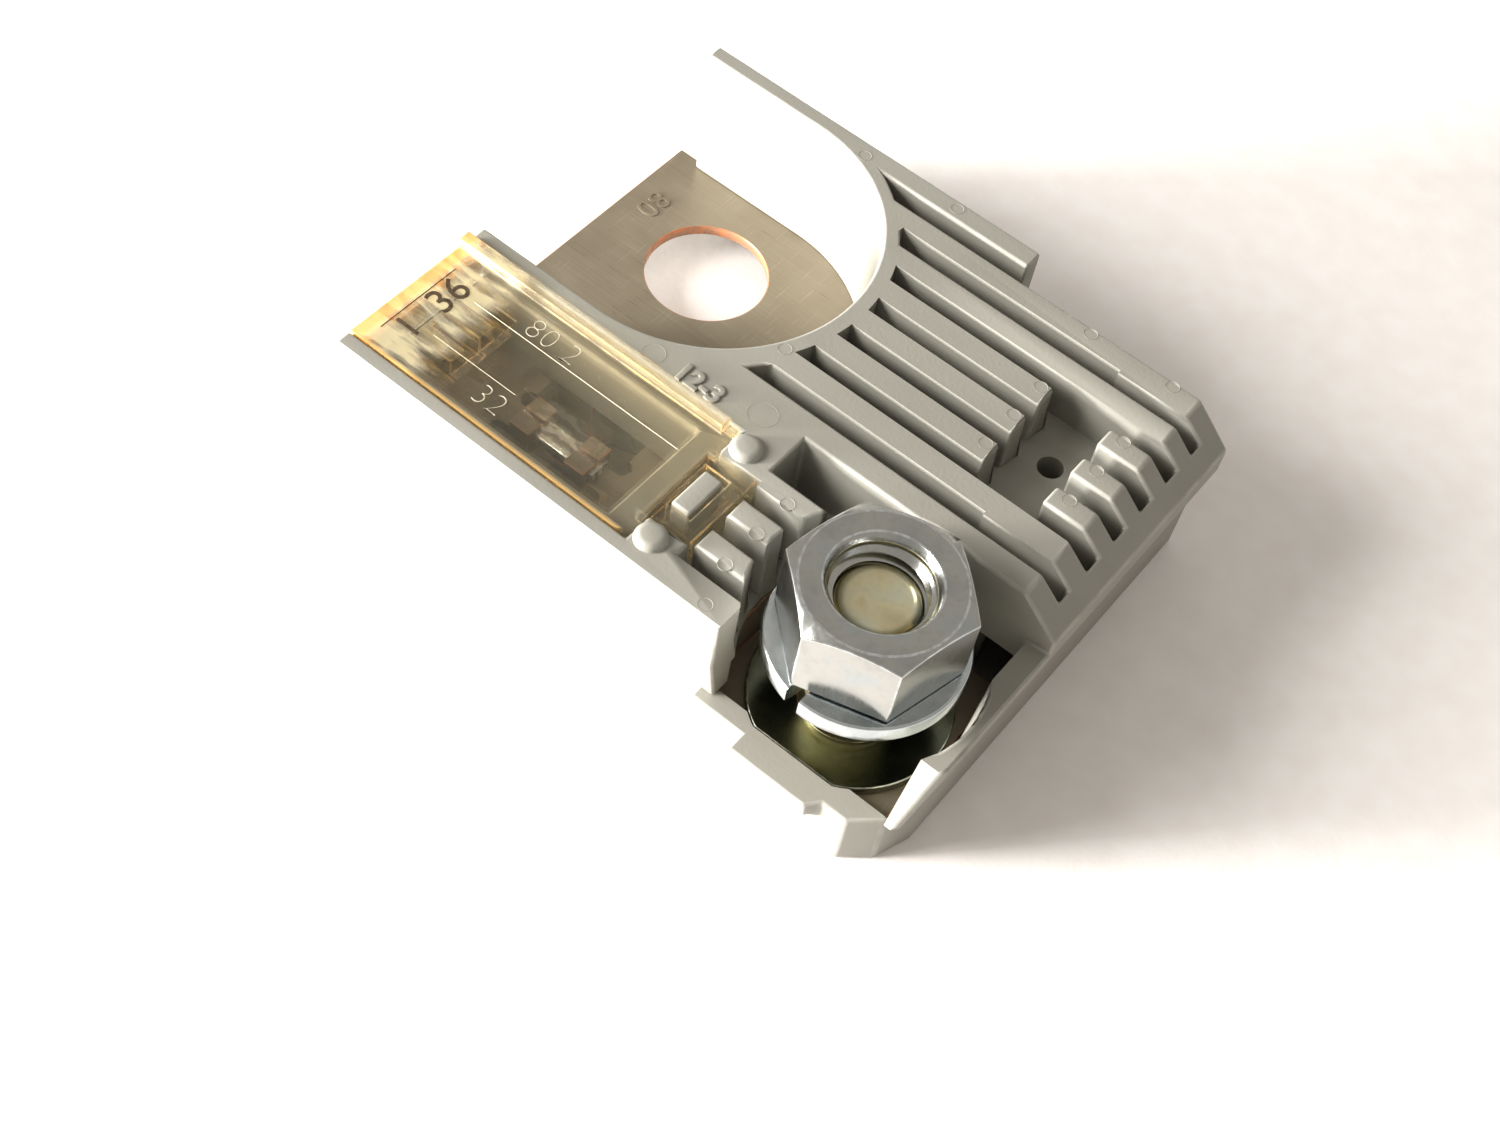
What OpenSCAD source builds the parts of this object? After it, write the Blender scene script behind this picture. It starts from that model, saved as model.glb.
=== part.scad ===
// Fusible-link block with a bolt-on eye and a threaded load stud.
// Millimetres, +Z up. The origin is the centre of the eye hole, on the underside of the
// eye plate, which is the face that is clamped down on the supply post.
// +X runs along the cooling ribs, +Y towards the tall wall beside the eye.

/* [Housing] */
// Length of the housing, from the eye side to the far end face
body_len = 43.6; // [42:0.1:54]
// Width of the housing, from the window side to the outside of the tall wall
body_w = 36.1; // [34.5:0.1:46]
// Height of the rib tops above the seating face of the eye plate
top_h = 11.4; // [11:0.1:14]
// Distance from the eye hole to the housing's end on the eye side
eye_to_end = 7.0; // [6:0.1:8]
// Distance from the eye hole to the outside of the tall wall
eye_to_wall = 8.4; // [8:0.1:10]
// Thickness of the tall wall
tall_wall = 1.25; // [1:0.05:2]
// Radius of the round recess that gives a spanner room around the eye
recess_r = 11.0; // [10.4:0.1:12]
// Distance from the eye hole to the centre of the recess, along the ribs
recess_off = 2.4; // [1.5:0.1:3]
// Wall left between the recess and the slots
ring_wall = 1.1; // [0.9:0.1:1.6]
// How far the lower half stands in from the upper half
skirt_inset = 0.8; // [0.5:0.1:1.2]
// Height where the upper half's straight side ends
side_low = 7.0; // [6:0.1:7.5]
// Drop of the sloped face across the far ends of the ribs
end_chamfer_h = 2.5; // [1.5:0.1:3]
// Length of that sloped face
end_chamfer_l = 2.8; // [2:0.1:4]

/* [Ribs] */
// Number of slots across the housing
slot_count = 7; // [7:1:7]
// Distance from one slot to the next
slot_pitch = 2.93; // [2.8:0.01:3.1]
// Width of a slot
slot_w = 1.3; // [1:0.05:1.5]
// Depth of the slots below the rib tops
slot_depth = 3.6; // [3:0.1:4.5]
// Thickness of the outermost rib
outer_rib = 1.6; // [1.3:0.1:2]
// Length of the pocket around the probe hole
probe_pocket_l = 4.2; // [3.6:0.1:5]
// Diameter of the probe hole
probe_d = 1.7; // [1.2:0.1:2.2]

/* [Bus bar] */
// Thickness of the copper strip
bar_t = 0.8; // [0.6:0.1:1]
// Diameter of the eye hole
eye_d = 8.6; // [8.2:0.1:10]
// How far the eye plate stands out of the housing
eye_out = 1.8; // [0.5:0.1:3]
// Height of the top of the strip at the load stud
stud_deck = 2.1; // [1.9:0.1:2.6]
// Height of the top of the strip at the fuse link
link_deck = 5.5; // [5:0.1:6]
// Width of the narrow fuse link
link_w = 1.8; // [1.2:0.1:2.4]
// Length of the narrow fuse link
link_l = 7.6; // [6:0.1:9]

/* [Load stud] */
// Thread diameter of the stud
stud_d = 6.0; // [5:0.5:6]
// Height of the stud's end
stud_end = 13.5; // [13:0.1:16]
// Side of the stud's square head
head_w = 9.0; // [8:0.1:9.6]
// Thickness of the stud's head
head_t = 1.9; // [1.5:0.1:2.2]
// Across the flats of the nut
nut_af = 10.0; // [9:0.5:10]
// Height of the nut
nut_h = 5.4; // [5:0.1:6]
// Outside diameter of the spring washer
spring_d = 12.2; // [11:0.1:12.4]
// Thickness of the spring washer
spring_t = 1.6; // [1.2:0.1:1.8]
// Outside diameter of the flat washer
washer_d = 12.6; // [12:0.1:12.8]
// Thickness of the flat washer
washer_t = 0.8; // [0.6:0.1:1]
// Across the two flats of the flat washer
washer_af = 11.2; // [10.5:0.1:11.6]
// Gap between the flat washer and the spring washer, with the nut backed off
nut_raise = 5.1; // [2:0.1:5.2]
// Radius kept clear around the stud for a socket
socket_r = 7.5; // [7:0.1:7.6]

/* [Window] */
// Width of the transparent cover
cover_w = 10.2; // [9.6:0.1:10.6]
// Thickness of the transparent cover
cover_t = 1.0; // [0.8:0.1:1.2]
// Rim of the housing beside the cover, on the outer side
cover_rim = 1.3; // [1:0.1:1.6]
// Height of the raised lip along the cover
lip_h = 0.7; // [0.4:0.1:1]

/* [Base] */
// Depth of the base below the seating face
base_d = 1.8; // [1.4:0.1:2.4]
// Height of the base's walls
base_top = 3.0; // [2.8:0.1:3.4]
// Thickness of the base's floor
base_floor = 1.0; // [0.8:0.1:1.2]
// Thickness of the base's walls
base_wall = 1.2; // [1:0.1:1.6]

/* [Hidden] */
$fn = 64;
eps = 0.01;
// Room between pieces that are set into each other
fit_gap = 0.1;
// Running clearance of the nut and the spring washer on the stud
run_gap = 0.05;

// Outline of the housing
x0 = -eye_to_end;
x1 = x0 + body_len;
y1 = eye_to_wall;
y0 = y1 - body_w;
recess_y = y1 - tall_wall - recess_r;
block_y = recess_y - recess_r;
chamfer_x = x1 - end_chamfer_l;
end_z = top_h - end_chamfer_h;
wall_t = 1.3;

// Slots and ribs
slot_floor = top_h - slot_depth;
first_slot_y = y1 - outer_rib - slot_w;
function slot_y(k) = first_slot_y - k * slot_pitch;
last_slot_y = slot_y(slot_count - 1);
tall_rib = 1.85;
pocket_y = last_slot_y - tall_rib;
slot_end_x = x1 - 1.3;
slot_r = recess_r + ring_wall;
outer_rib_end = x0 + 26.7;
probe_x = x0 + 35.9;
probe_pocket_x = probe_x - 0.15;
probe_y = slot_y(3) + slot_w / 2;
narrow_x = x0 + 35.8;
narrow_by = 0.25;

// Stud pocket and the short slots beside it
stud_x = x1 - 8.25;
stud_y = pocket_y - 7.2;
end_wall = 1.6;
rib_end_x = stud_x - socket_r;
shelf_x = rib_end_x - 3.05;
shelf_w = 3.2;
socket_draft = 0.6;
notch_x = rib_end_x + 1.6;
side_slots = 3;
side_slot_pitch = 2.85;
side_slot_w = 1.25;
side_slot_x = shelf_x - 0.2;
side_slot_y = y0 + 2.2;
roof_t = 0.8;

// Bus bar levels and outline
link_low = link_deck - bar_t;
stud_low = stud_deck - bar_t;
bar_y0 = y0 + base_wall + skirt_inset + 3 * fit_gap;
link_y = y0 + cover_rim + cover_w / 2 + 0.375;
link_mid_x = x0 + 12.0;
link_x0 = link_mid_x - link_l / 2;
link_x1 = link_mid_x + link_l / 2;
riser_x = rib_end_x + 0.4;
pocket_side_y = pocket_y - 0.4;
arm_x0 = recess_off + slot_r + 0.8;
arm_x1 = x1 - 4;
arm_y0 = pocket_y + 0.5;
arm_y1 = probe_y + 3.2;
pad_x0 = x0 + wall_t + 0.4;
step_y = block_y - ring_wall - 2 * fit_gap;
step_x1 = pad_x0 + 9.5;
eye_tuck = 0.7;
neck_r = 0.6;
claw_t = 0.45;
claw_w = 1.6;
claw_off = 2.2;
claw_gap = 0.3;
pellet_h = 0.8;
pellet_l = 6.4;
pellet_edge = 0.2;

// Base
pillar_d = 2.4;
pillar_x = x0 + 3.2;
pillar_off = 2.5;
seat_x = riser_x - bar_t - 1.6;
front_y = min(y0, stud_y - 6.57);
ledge_in = stud_y - washer_af / 2 - fit_gap;
stud_bar_y0 = ledge_in + 0.53;
front_x0 = riser_x + fit_gap;
lug_x0 = stud_x - 3.15;
lug_x1 = stud_x + 2.45;
lug_out = 1.25;
lug_slant = 0.7;
corner_out = 0.37;
corner_l = 2.6;
corner_w = 3.97;
corner_bulge = 0.45;
fence_w = 3.1;
fence_run = 2.2;

// Window chamber and cover
cover_y0 = y0 + cover_rim;
cover_y1 = cover_y0 + cover_w;
cover_x0 = x0;
cover_x1 = x0 + 21.6;
seat = 1.1;
chamber_x0 = x0 + 2.4;
chamber_x1 = cover_x1 - 2.2;
cover_low = top_h - cover_t;
latch_w = 6.0;
latch_x = cover_x1 + 3.1;
latch_y0 = (cover_y0 + cover_y1) / 2 - latch_w / 2;
hinge_x = cover_x0 + 0.9;
hinge_z = top_h - 1.6;
hinge_r = 0.95;
pin_r = 0.55;
tongue_w = 3.2;
barrel_l = 2.0;
cover_corner = 1.1;
latch_slit = 0.2;
catch_l = 1.4;
catch_x = cover_x1 + 0.35;
post_d = 2.1;
post_rise = 0.5;
guard_l = 3.1;
guard_w = 1.2;
guard_pitch = (cover_w - 2 * seat - guard_w - 1.8) / 2;
barrel_in = 1.0;
hook_gap = 0.8;
lip_w = 0.9;

// Stack on the stud
washer_z = stud_deck;
spring_z = washer_z + washer_t + nut_raise;
nut_z = spring_z + spring_t;
head_low = stud_low - head_t;
stud_chamfer = 0.9;
split_turn = 263;
split_slant = -20;
split_w = 0.9;
nut_turn = 17;
nut_corner = 1.04;
sink_h = 0.6;

// A plain block between two corners
module block(low, high) {
    translate(low) cube(high - low);
}

// A flat stadium-ended shape open towards -X: the plan of the eye recess
module recess_plan(grow = 0) {
    r = recess_r + grow;
    translate([recess_off, recess_y]) circle(r, $fn = 128);
    translate([x0 - 20, recess_y - r]) square([20 - x0 + recess_off, 2 * r]);
}

// Cross-section of the upper housing along the ribs: straight, then drawn in to the base
module side_profile() {
    polygon([
        [y0 + skirt_inset, base_top], [y0, side_low], [y0, top_h],
        [y1, top_h], [y1, base_top]
    ]);
}

// Cross-section of the upper housing across the ribs, with the sloped far end
module end_profile() {
    polygon([
        [x0, base_top], [x0, top_h], [chamfer_x, top_h], [x1, end_z],
        [x1, side_low], [x1 - skirt_inset, base_top]
    ]);
}

module housing_envelope() {
    intersection() {
        translate([x0 - 1, 0, 0]) rotate([90, 0, 90])
            linear_extrude(body_len + 2) side_profile();
        translate([0, y1 + 1, 0]) rotate([90, 0, 0])
            linear_extrude(body_w + 2) end_profile();
    }
}

// The walls of the eye recess reach down to the eye plate
module recess_collar() {
    translate([0, 0, bar_t]) linear_extrude(base_top - bar_t + eps) intersection() {
        recess_plan(ring_wall);
        translate([x0, y0 + skirt_inset]) square([body_len, body_w - skirt_inset]);
    }
}

// One slot from the ring around the recess to the far end; two of them end a little narrower
module slot(k) {
    end_w = k == 1 || k == slot_count - 1 ? slot_w - narrow_by : slot_w;
    difference() {
        union() {
            block([recess_off, slot_y(k), slot_floor], [narrow_x, slot_y(k) + slot_w, top_h + 1]);
            block([narrow_x - 1, slot_y(k), slot_floor],
                  [slot_end_x, slot_y(k) + end_w, top_h + 1]);
        }
        translate([recess_off, recess_y, slot_floor - 1])
            cylinder(h = slot_depth + 3, r = slot_r + (k == slot_count - 1 ? 0.4 : 0));
    }
}

// The outermost rib is short, so its slot is open beyond its end
module outer_notch() {
    block([outer_rib_end, first_slot_y, base_top - 1], [x1 + 1, y1 + 1, top_h + 1]);
}

// Pocket that breaks three ribs around the probe hole
module probe_pocket() {
    block([probe_pocket_x - probe_pocket_l / 2, slot_y(5), slot_floor],
          [probe_pocket_x + probe_pocket_l / 2, slot_y(2) + slot_w, top_h + 1]);
    translate([probe_x, probe_y, link_deck - 1])
        cylinder(h = slot_floor - link_deck + 2, d = probe_d);
}

// Room for the load stud: open to the window side, with a socket's sweep cut from its walls
module stud_pocket() {
    block([stud_x, y0 - 2, base_top - 1], [x1 - end_wall, pocket_y, top_h + 1]);
    block([shelf_x, pocket_y - shelf_w, link_deck + roof_t], [stud_x, pocket_y, top_h + 1]);
    translate([stud_x, stud_y, base_top])
        cylinder(h = slot_floor - base_top, r1 = socket_r - socket_draft, r2 = socket_r, $fn = 128);
    translate([stud_x, stud_y, slot_floor - eps]) cylinder(h = top_h, r = socket_r, $fn = 128);
    block([notch_x, y0 - 2, base_top - 1], [stud_x, stud_y - 3.37, top_h + 1]);
    block([notch_x, pocket_y - shelf_w, base_top - 1], [stud_x, pocket_y, top_h + 1]);
    block([stud_x - 2, y0 - 2, slot_floor], [x1 + 1, pocket_y, top_h + 1]);
}

// Short slots between the window and the stud pocket
module side_slot(k) {
    y = side_slot_y + k * side_slot_pitch;
    block([side_slot_x, y, link_deck + roof_t], [stud_x, y + side_slot_w, top_h + 1]);
}

// Hollow above the fuse link, with a shallow seat for the cover
module window_chamber() {
    block([chamber_x0, cover_y0 + seat, base_top - 1], [chamber_x1, cover_y1 - seat, top_h + 1]);
    block([cover_x0 - 1, cover_y0 - fit_gap, cover_low],
          [cover_x1 + fit_gap, cover_y1 + fit_gap, top_h + 1]);
    block([cover_x0 - 1, cover_y0 - fit_gap, hinge_z - hinge_r - 0.2],
          [hinge_x + hinge_r + 0.2, cover_y1 + fit_gap, top_h + 1]);
    block([cover_x1 - 0.6, latch_y0 - 0.15, cover_low - 1.7],
          [latch_x + 0.2, latch_y0 + latch_w + 0.15, top_h + 1]);
}

// Room under the housing for the copper strip
module under_cavity() {
    difference() {
        block([x0 + wall_t, bar_y0 - 2 * fit_gap, base_top - 1],
              [x1 - wall_t - skirt_inset, first_slot_y - wall_t / 2, link_deck]);
        translate([0, 0, -1]) linear_extrude(top_h) recess_plan(ring_wall);
    }
}

// Outline of the cut-off front corner, from the front face round to the end face
function corner_line(end_x) = [
    [end_x - corner_l, front_y - corner_out],
    [end_x - corner_l / 2 + corner_bulge, front_y - corner_out + corner_w / 2 - corner_bulge],
    [end_x, front_y - corner_out + corner_w]
];

// Everything outside that corner
module corner_waste(end_x) {
    linear_extrude(2 * top_h, center = true)
        polygon(concat(corner_line(end_x), [
            [end_x + 3, front_y - corner_out + corner_w], [end_x + 3, front_y - 3],
            [end_x - corner_l, front_y - 3]
        ]));
}

// The end wall slopes down to the ledge at the front, and its corner is cut off
module fence_slope() {
    translate([stud_x, 0, 0]) rotate([90, 0, 90]) linear_extrude(x1 - stud_x + 1) polygon([
        [front_y - 5, base_top - 1], [front_y + fence_w - fence_run, base_top - 1],
        [front_y + fence_w - fence_run, base_top], [front_y + fence_w, slot_floor],
        [front_y + fence_w, top_h + 1], [front_y - 5, top_h + 1]
    ]);
}

// Pin that the cover hooks under and swings on
module hinge_pin() {
    translate([hinge_x, cover_y0 - 0.4, hinge_z]) rotate([-90, 0, 0])
        cylinder(h = cover_w + 0.8, r = pin_r);
}

// Catch that snaps into the window of the cover's latch
module latch_tongue() {
    block([catch_x, latch_y0 + (latch_w - tongue_w) / 2, cover_low - 1.8],
          [catch_x + catch_l, latch_y0 + (latch_w + tongue_w) / 2, top_h]);
}

// Round-headed posts on either side of the latch
module latch_posts() {
    for (y = [latch_y0 - 1.3, latch_y0 + latch_w + 1.3])
        translate([cover_x1 + 1.2, y, cover_low - 1])
            cylinder(h = cover_t + 1 + post_rise, d = post_d);
}

module housing() {
    color("gainsboro") {
        difference() {
            union() {
                housing_envelope();
                recess_collar();
            }
            translate([0, 0, -1]) linear_extrude(top_h + 2) recess_plan();
            for (k = [0:slot_count - 1]) slot(k);
            outer_notch();
            probe_pocket();
            stud_pocket();
            for (k = [0:side_slots - 1]) side_slot(k);
            window_chamber();
            under_cavity();
            fence_slope();
            corner_waste(x1);
        }
        hinge_pin();
        latch_tongue();
        latch_posts();
    }
}

// Plan of the base: the housing's outline, drawn in, without the eye recess
module base_plan(inset = 0) {
    difference() {
        translate([x0 + inset, y0 + skirt_inset + inset])
            square([body_len - skirt_inset - 2 * inset, body_w - skirt_inset - 2 * inset]);
        recess_plan(ring_wall + fit_gap + inset);
        translate([x0 - 1, recess_y]) square([recess_off - x0 + 8 + inset, body_w]);
        translate([outer_rib_end - inset, first_slot_y - inset]) square([body_len, body_w]);
    }
}

// Solid seat under the copper strip at the stud, with a well for the stud's square head
module stud_seat() {
    difference() {
        block([seat_x, y0 + skirt_inset + 0.2, -base_d],
              [x1 - skirt_inset - 0.2, pocket_y - 0.2, stud_low]);
        translate([stud_x, stud_y, head_low + 10])
            cube([head_w + 2 * fit_gap, head_w + 2 * fit_gap, 20], center = true);
    }
}

// Ledge in front of the stud, with a lug on its face. It stands as high as the flat washer
// and keeps it from turning.
module stud_ledge() {
    difference() {
        translate([0, 0, -base_d]) linear_extrude(base_d + base_top) polygon(concat([
            [front_x0, stud_bar_y0], [front_x0, front_y], [lug_x0, front_y],
            [lug_x0, front_y - lug_out], [lug_x1, front_y - lug_out],
            [lug_x1 + lug_slant, front_y - corner_out]
        ], corner_line(x1 - skirt_inset), [[x1 - skirt_inset, stud_bar_y0]]));
        translate([0, 0, stud_low]) linear_extrude(base_top) intersection() {
            translate([stud_x, stud_y]) circle(d = washer_d + 2 * fit_gap);
            translate([stud_x - washer_d, ledge_in]) square(2 * washer_d);
        }
    }
}

// Pillars that press the upper level of the strip against the housing
module bar_pillars() {
    for (p = [[pillar_x, link_y - pillar_off], [pillar_x, link_y + pillar_off],
              [link_x1 + pillar_d, link_y - pillar_off], [link_x1 + pillar_d, link_y + pillar_off],
              [arm_x1 - 2, arm_y1 - 2], [arm_x1 - 2, arm_y0 + 2], [arm_x0 + 2.2, arm_y1 - 2]])
        translate([p[0], p[1], -base_d]) cylinder(h = base_d + link_low, d = pillar_d);
}

module base_cover() {
    color("lightgray") difference() {
        union() {
            difference() {
                translate([0, 0, -base_d]) linear_extrude(base_d + base_top) base_plan();
                translate([0, 0, base_floor - base_d])
                    linear_extrude(base_d + base_top) base_plan(base_wall);
                linear_extrude(base_top + 1) recess_plan(ring_wall + base_wall + 2 * fit_gap);
                block([front_x0, y0 - 3, stud_low],
                      [x1 - end_wall, pocket_y + 0.3, base_top + 1]);
            }
            stud_seat();
            stud_ledge();
            bar_pillars();
        }
        corner_waste(x1 - skirt_inset);
    }
}

// Eye plate: it lines the floor of the recess and runs on under the window block
module eye_plate() {
    linear_extrude(bar_t) difference() {
        union() {
            intersection() {
                translate([recess_off, recess_y]) circle(recess_r + eye_tuck, $fn = 128);
                translate([recess_off - 1, recess_y - body_w]) square(2 * body_w);
            }
            translate([x0 - eye_out, recess_y - recess_r - eye_tuck])
                square([recess_off - x0 + eye_out, 2 * (recess_r + eye_tuck)]);
            translate([pad_x0, step_y]) square([step_x1 - pad_x0, recess_y - step_y]);
        }
        circle(d = eye_d, $fn = 96);
    }
}

// Upright that lifts the strip from the eye plate to the level of the fuse link
module eye_riser() {
    block([pad_x0, step_y - bar_t, 0], [step_x1, step_y, link_deck]);
}

// Upper level: a pad on each side of the narrow fuse link, and an arm under the ribs
module link_level() {
    difference() {
        union() {
            block([pad_x0, bar_y0, link_low], [link_x0, step_y, link_deck]);
            block([link_x1, bar_y0, link_low], [riser_x, step_y, link_deck]);
            block([link_x0 - 1, link_y - link_w / 2, link_low],
                  [link_x1 + 1, link_y + link_w / 2, link_deck]);
            block([arm_x0, step_y - 1, link_low], [riser_x, arm_y1, link_deck]);
            block([arm_x0, arm_y0, link_low], [arm_x1, arm_y1, link_deck]);
        }
        for (x = [link_x0, link_x1], s = [-1, 1])
            translate([x, link_y + s * (link_w / 2 + neck_r), link_low - 1])
                cylinder(h = bar_t + 2, r = neck_r);
    }
}

// Claws that are folded over the tin pellet
module claw_pair(x) {
    for (s = [-1, 1]) {
        outer = s * (link_w / 2 + claw_t);
        inner = s * link_w / 2;
        tip = s * claw_gap / 2;
        block([x - claw_w / 2, link_y + min(outer, inner), link_low],
              [x + claw_w / 2, link_y + max(outer, inner), link_deck + pellet_h + claw_t]);
        block([x - claw_w / 2, link_y + min(outer, tip), link_deck + pellet_h],
              [x + claw_w / 2, link_y + max(outer, tip), link_deck + pellet_h + claw_t]);
    }
}

module stud_level() {
    difference() {
        union() {
            block([riser_x - bar_t, bar_y0, stud_low], [riser_x, pocket_side_y, link_deck]);
            block([riser_x - bar_t, max(bar_y0, stud_bar_y0), stud_low],
                  [stud_x, pocket_side_y, stud_deck]);
            block([riser_x + 2 * fit_gap, stud_bar_y0, stud_low],
                  [x1 - end_wall - 3 * fit_gap, pocket_side_y, stud_deck]);
        }
        translate([stud_x, stud_y, stud_low - 1])
            cylinder(h = bar_t + 2, d = stud_d + fit_gap);
    }
}

module bus_bar() {
    color("tan") {
        eye_plate();
        eye_riser();
        link_level();
        claw_pair(link_mid_x - claw_off);
        claw_pair(link_mid_x + claw_off);
        stud_level();
    }
}

module tin_pellet() {
    color("silver") translate([link_mid_x - pellet_l / 2, link_y, link_deck])
        rotate([90, 0, 90]) linear_extrude(pellet_l) polygon([
            [-link_w / 2, 0], [link_w / 2, 0], [link_w / 2, pellet_h - pellet_edge],
            [link_w / 2 - pellet_edge, pellet_h], [pellet_edge - link_w / 2, pellet_h],
            [-link_w / 2, pellet_h - pellet_edge]
        ]);
}

// Barrel that hooks around the housing's pin
module cover_barrel(y) {
    difference() {
        translate([hinge_x, y, hinge_z]) rotate([-90, 0, 0]) cylinder(h = barrel_l, r = hinge_r);
        translate([hinge_x, y - 1, hinge_z]) rotate([-90, 0, 0])
            cylinder(h = barrel_l + 2, r = pin_r + run_gap);
        block([hinge_x - hook_gap / 2, y - 1, hinge_z - 2],
              [hinge_x + hook_gap / 2, y + barrel_l + 1, hinge_z]);
    }
}

module cover_plate() {
    difference() {
        translate([0, 0, cover_low]) linear_extrude(cover_t) difference() {
            translate([cover_x0, cover_y0]) square([cover_x1 - cover_x0, cover_w]);
            translate([cover_x1, cover_y0]) difference() {
                square(2 * cover_corner, center = true);
                translate([-cover_corner, cover_corner]) circle(cover_corner);
            }
        }
        block([cover_x1 - 0.9, latch_y0 - latch_slit, cover_low - 1],
              [cover_x1 + 1, latch_y0, top_h + 1]);
    }
}

// Frame that drops over the housing's catch
module cover_latch() {
    difference() {
        block([cover_x1 - 0.5, latch_y0, cover_low - 0.9], [latch_x, latch_y0 + latch_w, top_h]);
        block([cover_x1 + 0.2, latch_y0 + (latch_w - tongue_w) / 2 - 0.2, cover_low - 2],
              [cover_x1 + 2.0, latch_y0 + (latch_w + tongue_w) / 2 + 0.2, top_h + 1]);
    }
}

// Ribs under the cover that reach into the end of the chamber
module cover_ribs() {
    y = cover_y0 + seat + 0.6;
    for (k = [0:2])
        block([chamber_x0 + 0.3, y + k * guard_pitch, cover_low - 1.6],
              [chamber_x0 + 0.3 + guard_l, y + guard_w + k * guard_pitch, cover_low + eps]);
    block([chamber_x0 + guard_l - 0.1, y, cover_low - 1.2],
          [chamber_x0 + guard_l + 0.5, y + guard_w + 2 * guard_pitch, cover_low + eps]);
}

module window_cover() {
    color("khaki") {
        cover_plate();
        block([cover_x0, cover_y1 - lip_w, top_h - eps],
              [cover_x1 - 0.6, cover_y1, top_h + lip_h]);
        cover_latch();
        cover_ribs();
        cover_barrel(cover_y0 + barrel_in);
        cover_barrel(cover_y1 - barrel_in - barrel_l);
    }
}

module load_stud() {
    color("gold") {
        translate([stud_x, stud_y, head_low + head_t / 2])
            cube([head_w, head_w, head_t], center = true);
        translate([stud_x, stud_y, stud_low - eps])
            cylinder(h = stud_end - stud_low - stud_chamfer + eps, d = stud_d);
        translate([stud_x, stud_y, stud_end - stud_chamfer - eps])
            cylinder(h = stud_chamfer + eps, d1 = stud_d, d2 = stud_d - 1.6 * stud_chamfer);
    }
}

module flat_washer() {
    color("darkkhaki") translate([stud_x, stud_y, washer_z]) difference() {
        intersection() {
            cylinder(h = washer_t, d = washer_d, $fn = 96);
            translate([-washer_d, -washer_af / 2, -1])
                cube([2 * washer_d, washer_af, washer_t + 2]);
        }
        translate([0, 0, -1]) cylinder(h = washer_t + 2, d = stud_d + 0.4);
    }
}

module spring_washer() {
    color("lightsteelblue") translate([stud_x, stud_y, spring_z]) difference() {
        cylinder(h = spring_t, d = spring_d, $fn = 96);
        translate([0, 0, -1]) cylinder(h = spring_t + 2, d = stud_d + 2 * run_gap);
        rotate(split_turn) rotate([split_slant, 0, 0])
            translate([0, -split_w / 2, -3]) cube([spring_d, split_w, spring_t + 6]);
    }
}

module hex_nut() {
    color("lightblue") translate([stud_x, stud_y, nut_z]) rotate(nut_turn) difference() {
        intersection() {
            cylinder(h = nut_h, d = nut_af / cos(30), $fn = 6);
            cylinder(h = nut_h, d1 = nut_af + 2 * nut_h / tan(30), d2 = nut_af * nut_corner);
        }
        translate([0, 0, -1]) cylinder(h = nut_h + 2, d = stud_d + 2 * run_gap);
        translate([0, 0, nut_h - sink_h])
            cylinder(h = sink_h + eps, d1 = stud_d, d2 = stud_d + 1.3 * sink_h);
    }
}

housing();
base_cover();
bus_bar();
tin_pellet();
window_cover();
load_stud();
flat_washer();
spring_washer();
hex_nut();
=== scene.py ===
# %% [markdown]
# # A bolt-on fusible-link block
# One block of a fuse box panel: a ribbed plastic housing over a stamped copper strip. The strip's
# eye is clamped on a battery post, a narrow link in its middle melts on overload under a clear
# amber window, and a threaded stud with a nut and washers takes the cable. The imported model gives
# every size and place, so the frame is loaded first and its box is kept.

# %% Load the frame
import math
import bmesh
import bpy
from mathutils import Matrix, Quaternion, Vector


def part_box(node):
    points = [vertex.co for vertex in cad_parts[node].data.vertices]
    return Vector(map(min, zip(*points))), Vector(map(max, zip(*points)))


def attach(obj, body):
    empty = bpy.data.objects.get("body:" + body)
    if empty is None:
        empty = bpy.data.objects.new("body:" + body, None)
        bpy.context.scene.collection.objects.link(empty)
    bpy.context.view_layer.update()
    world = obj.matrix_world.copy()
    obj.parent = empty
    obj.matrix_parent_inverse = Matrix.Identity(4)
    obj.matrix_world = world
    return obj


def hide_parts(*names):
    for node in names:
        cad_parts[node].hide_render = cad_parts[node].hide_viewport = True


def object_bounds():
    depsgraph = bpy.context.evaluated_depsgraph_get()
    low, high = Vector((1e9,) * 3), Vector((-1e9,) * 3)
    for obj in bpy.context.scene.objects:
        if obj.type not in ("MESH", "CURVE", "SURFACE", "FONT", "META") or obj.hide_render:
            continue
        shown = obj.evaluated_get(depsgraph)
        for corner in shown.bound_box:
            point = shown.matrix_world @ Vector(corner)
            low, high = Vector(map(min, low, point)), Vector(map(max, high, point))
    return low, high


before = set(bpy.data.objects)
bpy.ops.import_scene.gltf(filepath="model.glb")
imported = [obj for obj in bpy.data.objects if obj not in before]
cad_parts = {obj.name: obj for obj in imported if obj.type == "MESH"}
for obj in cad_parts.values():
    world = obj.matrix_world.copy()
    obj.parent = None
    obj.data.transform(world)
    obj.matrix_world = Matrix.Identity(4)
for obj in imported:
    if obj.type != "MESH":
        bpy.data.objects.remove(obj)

cad_low, cad_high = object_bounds()
MM = 0.001
print("CAD box, mm:", [round(v / MM, 2) for v in (*cad_low, *cad_high)])

# %% [markdown]
# ## Camera
# The block is seen from above its stud corner, close enough for strong perspective. A camera is
# easiest to place by where it stands, what it looks at and how far it is rolled, and the lens
# follows from the width of the view.

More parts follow.
